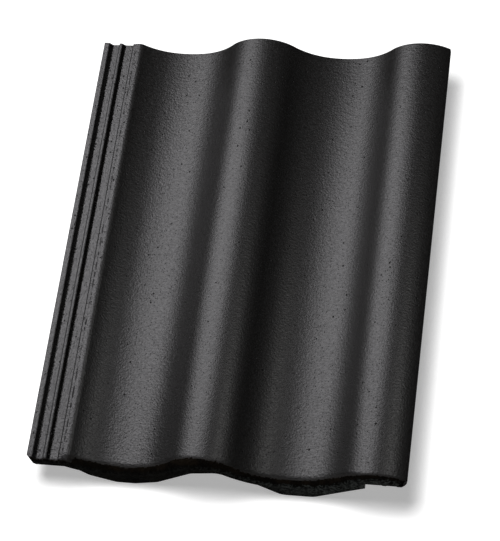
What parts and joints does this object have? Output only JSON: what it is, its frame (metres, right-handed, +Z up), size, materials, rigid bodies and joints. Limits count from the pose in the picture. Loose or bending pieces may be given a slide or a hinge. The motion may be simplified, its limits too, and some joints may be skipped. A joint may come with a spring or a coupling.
{
  "type": "roof pantile",
  "caption": "Interlocking double-wave concrete roof tile with side-lock ribs and cover, weather bars under the nose and hanging nibs under the head.",
  "frame": {"origin": "middle of the tile at the floor that its weather bars and nibs stand on", "axes": "+X across the tile from the ribbed half of the side lock to its cover, +Y from the nose to the head, +Z up"},
  "size_m": [0.33, 0.42, 0.0595],
  "materials": {
    "coated_concrete": "satin charcoal coating on moulded concrete"
  },
  "bodies": {
    "root": {"roof_tile": "coated_concrete"}
  },
  "joints": []
}
